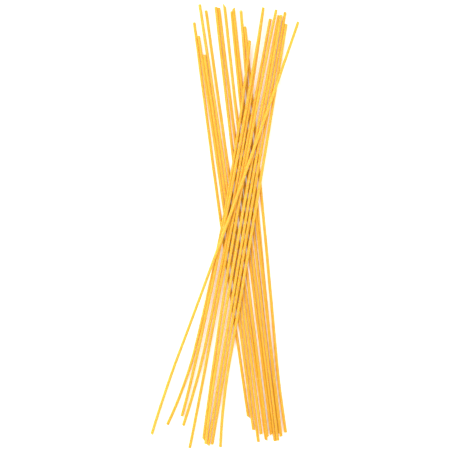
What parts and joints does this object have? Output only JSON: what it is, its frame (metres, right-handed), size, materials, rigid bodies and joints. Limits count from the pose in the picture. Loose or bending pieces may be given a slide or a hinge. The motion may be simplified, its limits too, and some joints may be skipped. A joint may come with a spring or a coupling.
{
  "type": "dry spaghetti bundle",
  "caption": "Loose bundle of dry spaghetti lying flat: long thin strands in two sheaves that cross at a waist and fan out at both ends.",
  "frame": {"origin": "on the table, under the middle of the bundle's box as seen from above", "axes": "+Z up from the table; +Y along the bundle, from the wide spread of feet to the top ends; +X to the right when looking down with +Y up"},
  "size_m": [0.087, 0.2588, 0.0065],
  "materials": {
    "dry_pasta": null
  },
  "bodies": {
    "root": {"spaghetti_bundle": "dry_pasta"}
  },
  "joints": []
}
